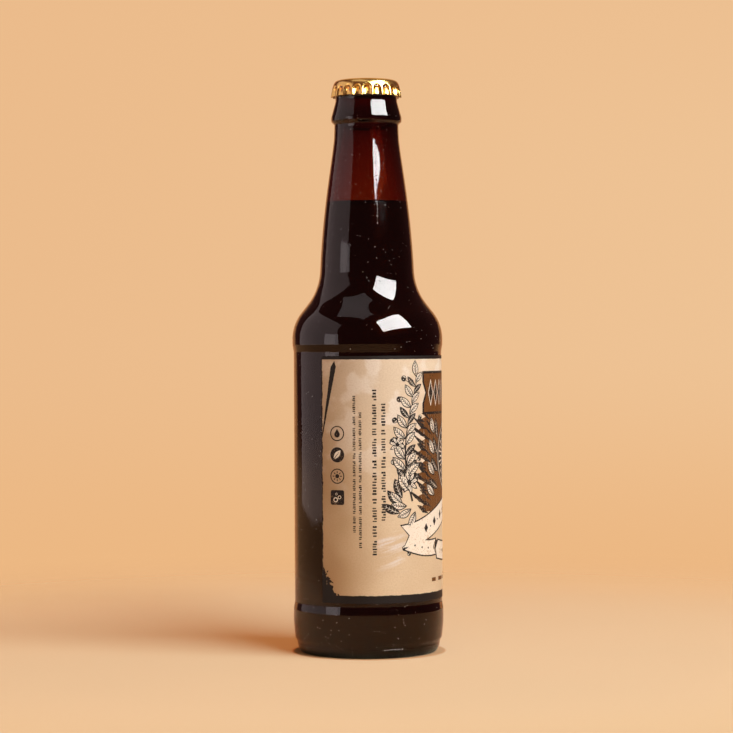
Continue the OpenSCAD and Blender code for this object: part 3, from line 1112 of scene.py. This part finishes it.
def softbox(name, lamp):
    centre = Vector((0, 0, 0.12)) + pointing(lamp["turn"], lamp["rise"]) * lamp["away"]
    bpy.ops.object.light_add(type="AREA", location=centre)
    piece = bpy.context.object
    piece.name = name
    piece.data.shape = "RECTANGLE"
    piece.data.size, piece.data.size_y = lamp["width"], lamp["height"]
    # the brightness of its face, whatever its size
    face = lamp.get("light", lamp.get("shine"))
    piece.data.energy = face * math.pi * lamp["width"] * lamp["height"]
    piece.data.color = lamp.get("colour", (1, 1, 1))
    facing = pointing(lamp.get("faceTurn", lamp["turn"]), lamp.get("faceRise", lamp["rise"]))
    piece.rotation_euler = (facing.to_track_quat("Z", "Y").to_matrix()
                            @ Matrix.Rotation(math.radians(lamp.get("roll", 0.0)), 3, "Z")).to_euler()
    piece.visible_camera = False
    piece.visible_diffuse = "light" in lamp
    piece.visible_glossy = piece.visible_transmission = "shine" in lamp


for name, lamp in lamps.items():
    softbox(name, lamp)


room = {
    # what the camera sees, from the top of the wall down to the floor
    "wallTop": rgb(238, 195, 149), "wallSide": rgb(235, 187, 139), "wallLow": rgb(236, 184, 131),
    # what falls on surfaces, and what gloss and glass show besides the wall
    "ambient": (0.26, 0.16, 0.1, 1), "dark": (0.1, 0.032, 0.027, 1), "floorShine": rgb(182, 132, 92),
    "behind": (0.80, 0.33, 0.13, 1),
}


def makeWorld():
    world = bpy.data.worlds.new("studioAir")
    world.use_nodes = True
    bpy.context.scene.world = world
    f = Finish("studioAir", world.node_tree)
    path = f.node("ShaderNodeLightPath", output="Is Camera Ray")
    seen = path.high(path.out("Is Transmission Ray"))
    shine = path.out("Is Glossy Ray")
    # the backdrop stands behind the bottle, and the room in front is dim
    facing = f.node("ShaderNodeTexCoord", output="Generated")
    toward = f.measured("DOT_PRODUCT", facing, tuple(ahead))
    across = f.measured("DOT_PRODUCT", facing, (ahead.y, -ahead.x, 0.0))
    _, _, rise = f.split(facing)
    wall = f.mix(across.soft(-0.22, 0.22), room["wallSide"], room["wallTop"])
    wall = f.mix(rise.soft(0.06, 0.15) * 0.4, wall, room["wallSide"])
    wall = f.mix(rise.soft(-0.1, 0.0), room["wallLow"], wall)
    floorSide = f.mix(across.soft(0.6, 0.86), room["floorShine"], room["dark"])
    backdrop = f.mix(rise.soft(-0.07, -0.03), floorSide, room["dark"])
    backdrop = f.mix((toward - rise * 0.3).soft(0.78, 0.88) * rise.soft(-0.3, -0.2), backdrop, room["behind"])
    # the wall's glow high behind the bottle, which the crown's top shows
    over = (1 - abs(across).soft(0.25, 0.5)) * rise.soft(0.25, 0.4) * toward.soft(0.1, 0.5)
    backdrop = f.mix(over * 0.7, backdrop, wall)
    colour = f.mix(seen, f.mix(shine, room["ambient"], backdrop), wall)
    background = f.node("ShaderNodeBackground", None, {"Color": colour, "Strength": 1.0})
    f.node("ShaderNodeOutputWorld", None, {"Surface": background})


makeWorld()


def makeFloor():
    # shown is the paper as gloss and glass show it, under is painted warm light round the bottle's foot where
    # the bottle shades the floor from the top lamp, and the paper fades into the wall from fade[0] to fade[1]
    look = {"radius": 1.7, "near": rgb(181, 183, 157), "far": rgb(194, 190, 152), "fade": (0.16, 0.46),
            "under": rgb(196, 158, 118), "shown": rgb(178, 166, 140), "fibre": rgb(250, 220, 180)}
    bpy.ops.mesh.primitive_circle_add(vertices=128, radius=look["radius"], fill_type="NGON",
                                      location=(0, 0, 0))
    floor = bpy.context.object
    floor.name = "paperFloor"
    f = Finish("peachPaper")
    spot = f.node("ShaderNodeTexCoord", output="Object")
    away = f.measured("LENGTH", spot)
    mottle = f.noise(spot, 6.0, 2.0)
    colour = f.mix(away.soft(0.05, 0.6), look["near"], look["far"])
    # painted light: a warm tone under the bottle's rim, where the bottle shades the floor from the top lamp
    colour = f.mix(away.soft(0.0303, 0.0318), look["under"], colour)
    colour = f.mix(mottle * 0.06, colour, look["fibre"])
    colour = f.mix(f.node("ShaderNodeLightPath", output="Is Glossy Ray"), colour, look["shown"])
    surface = f.node("ShaderNodeBsdfDiffuse", None, {"Color": colour, "Roughness": 0.6})
    clear = f.node("ShaderNodeBsdfTransparent")
    both = f.node("ShaderNodeMixShader", None, {0: away.soft(*look["fade"]), 1: surface, 2: clear})
    f.node("ShaderNodeOutputMaterial", None, {"Surface": both})
    f.on(floor)


makeFloor()
print("stage ready")


# render look

bpy.context.scene.view_settings.view_transform = "Standard"
